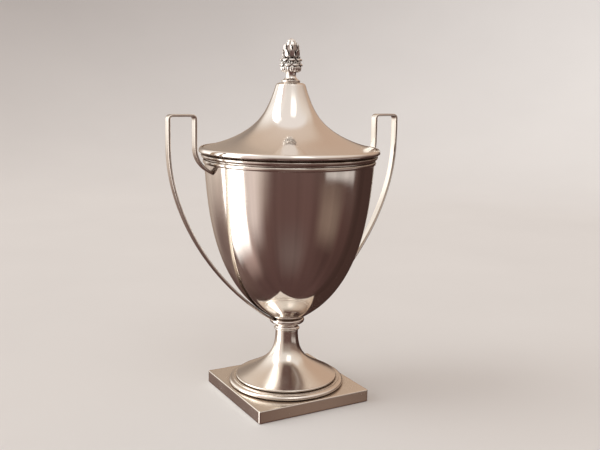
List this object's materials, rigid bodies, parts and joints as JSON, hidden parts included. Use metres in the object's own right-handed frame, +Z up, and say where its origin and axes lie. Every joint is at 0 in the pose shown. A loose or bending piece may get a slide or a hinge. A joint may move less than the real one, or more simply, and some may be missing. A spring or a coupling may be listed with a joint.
{
  "type": "cup trophy",
  "caption": "Covered two-handled presentation cup: egg-shaped bowl on a trumpet foot and square plinth, angular strap handles, lift-off lid with a pine-cone finial.",
  "frame": {"origin": "middle of the underside of the plinth, on the surface that the cup stands on", "axes": "+Z up along the axis of the cup, X through the two handles, -Y the front"},
  "size_m": [0.1702, 0.1196, 0.24],
  "materials": {
    "polished_silver": "polished silver with fine wiping scratches and a slight warm tarnish",
    "drawn_silver": "drawn silver wire and strip, polished, darker in the joints",
    "cast_silver": "cast and chased silver, bright on the crests and darkened in the hollows",
    "brass": "plain turned brass with machining marks"
  },
  "bodies": {
    "cup": {"plinth": "polished_silver", "foot_ring": "polished_silver", "foot_trumpet": "polished_silver", "neck_band": "polished_silver", "knop_ring": "polished_silver", "bowl": "polished_silver", "bowl_rim_bead": "drawn_silver", "bowl_girdle_bead": "drawn_silver", "handle_left": "drawn_silver", "handle_right": "drawn_silver", "tie_bolt": "brass", "tie_washer": "brass", "tie_nut": "brass"},
    "lid": {"lid_cover": "polished_silver", "lid_edge_bead": "drawn_silver", "lid_bezel": "polished_silver", "finial_stem": "cast_silver", "finial_calyx": "cast_silver", "finial_cone": "cast_silver", "finial_stud": "brass", "finial_washer": "brass", "finial_nut": "brass"}
  },
  "joints": [
    {"name": "lid_lift", "type": "slide", "parent": "cup", "child": "lid", "axis": [0, 0, 1], "range_m": [0, 0.06]}
  ]
}
